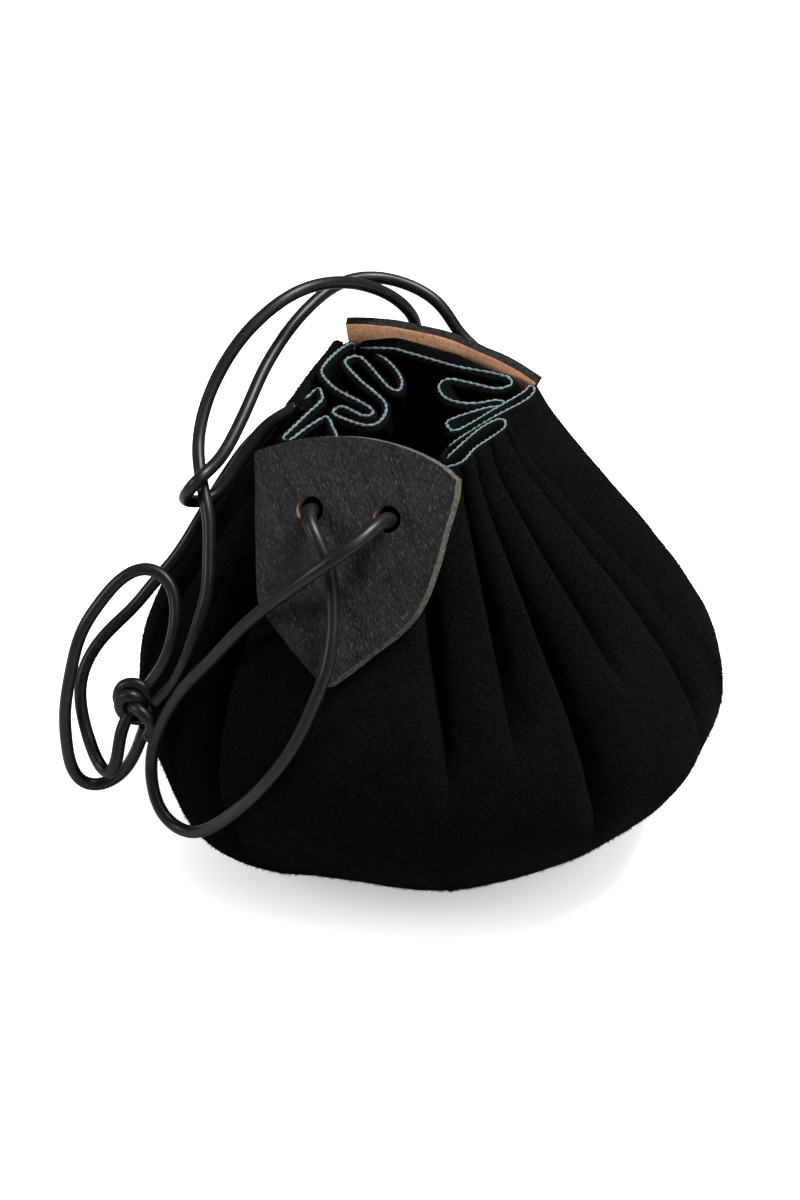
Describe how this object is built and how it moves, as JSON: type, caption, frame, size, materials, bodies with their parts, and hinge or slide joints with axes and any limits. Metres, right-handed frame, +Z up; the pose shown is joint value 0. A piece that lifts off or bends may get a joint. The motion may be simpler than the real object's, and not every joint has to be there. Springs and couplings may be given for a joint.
{
  "type": "leather drawstring pouch",
  "caption": "Round black suede pouch gathered at the mouth, with pierced leather tabs front and back and a round leather drawcord looped and knotted at one side.",
  "frame": {"origin": "on the floor under the middle of the bag", "axes": "+Z up, the front tab faces -Y, the knotted cord is on the -X side"},
  "size_m": [0.1919, 0.1919, 0.1814],
  "materials": {
    "suede": "napped black suede with a pale cut edge",
    "tab_leather": "smooth grained black leather, brown on its inner side",
    "cord_leather": "satin black round cord"
  },
  "bodies": {
    "root": {"pouch_body": "suede", "front_tab": "tab_leather", "back_tab": "tab_leather", "front_cord": "cord_leather", "back_cord_left": "cord_leather", "back_cord_right": "cord_leather", "neck_cord": "cord_leather", "end_loop": "cord_leather", "cord_knot": "cord_leather"}
  },
  "joints": []
}
